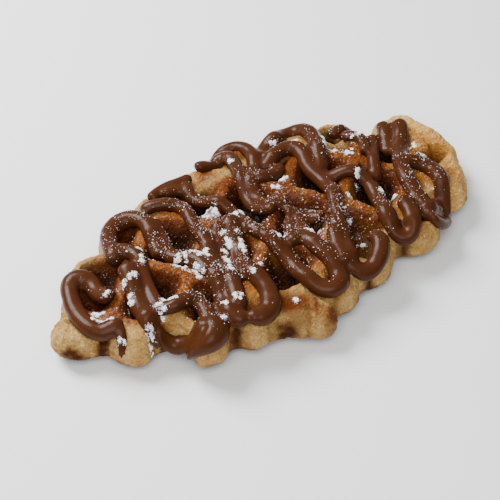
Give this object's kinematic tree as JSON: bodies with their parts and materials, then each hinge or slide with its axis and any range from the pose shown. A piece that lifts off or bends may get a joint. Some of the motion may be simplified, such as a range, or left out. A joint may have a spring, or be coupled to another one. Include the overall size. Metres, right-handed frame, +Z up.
{
  "type": "croffle",
  "caption": "Croissant pressed in a waffle iron: a long lobed slab of flaky pastry with deep square pockets, under thick chocolate drizzle and powdered sugar",
  "frame": {"origin": "on the resting plane, under the middle of the bounding box", "axes": "+X along the slab, from the thinner end to the thicker one; +Z up, through the slab's thickness"},
  "size_m": [0.1656, 0.088, 0.0214],
  "materials": {
    "crust": "matt, glossy where caramelised",
    "chocolate": "glossy",
    "sugar": "matt powder"
  },
  "bodies": {
    "root": {"croffle": "crust"}
  },
  "joints": []
}
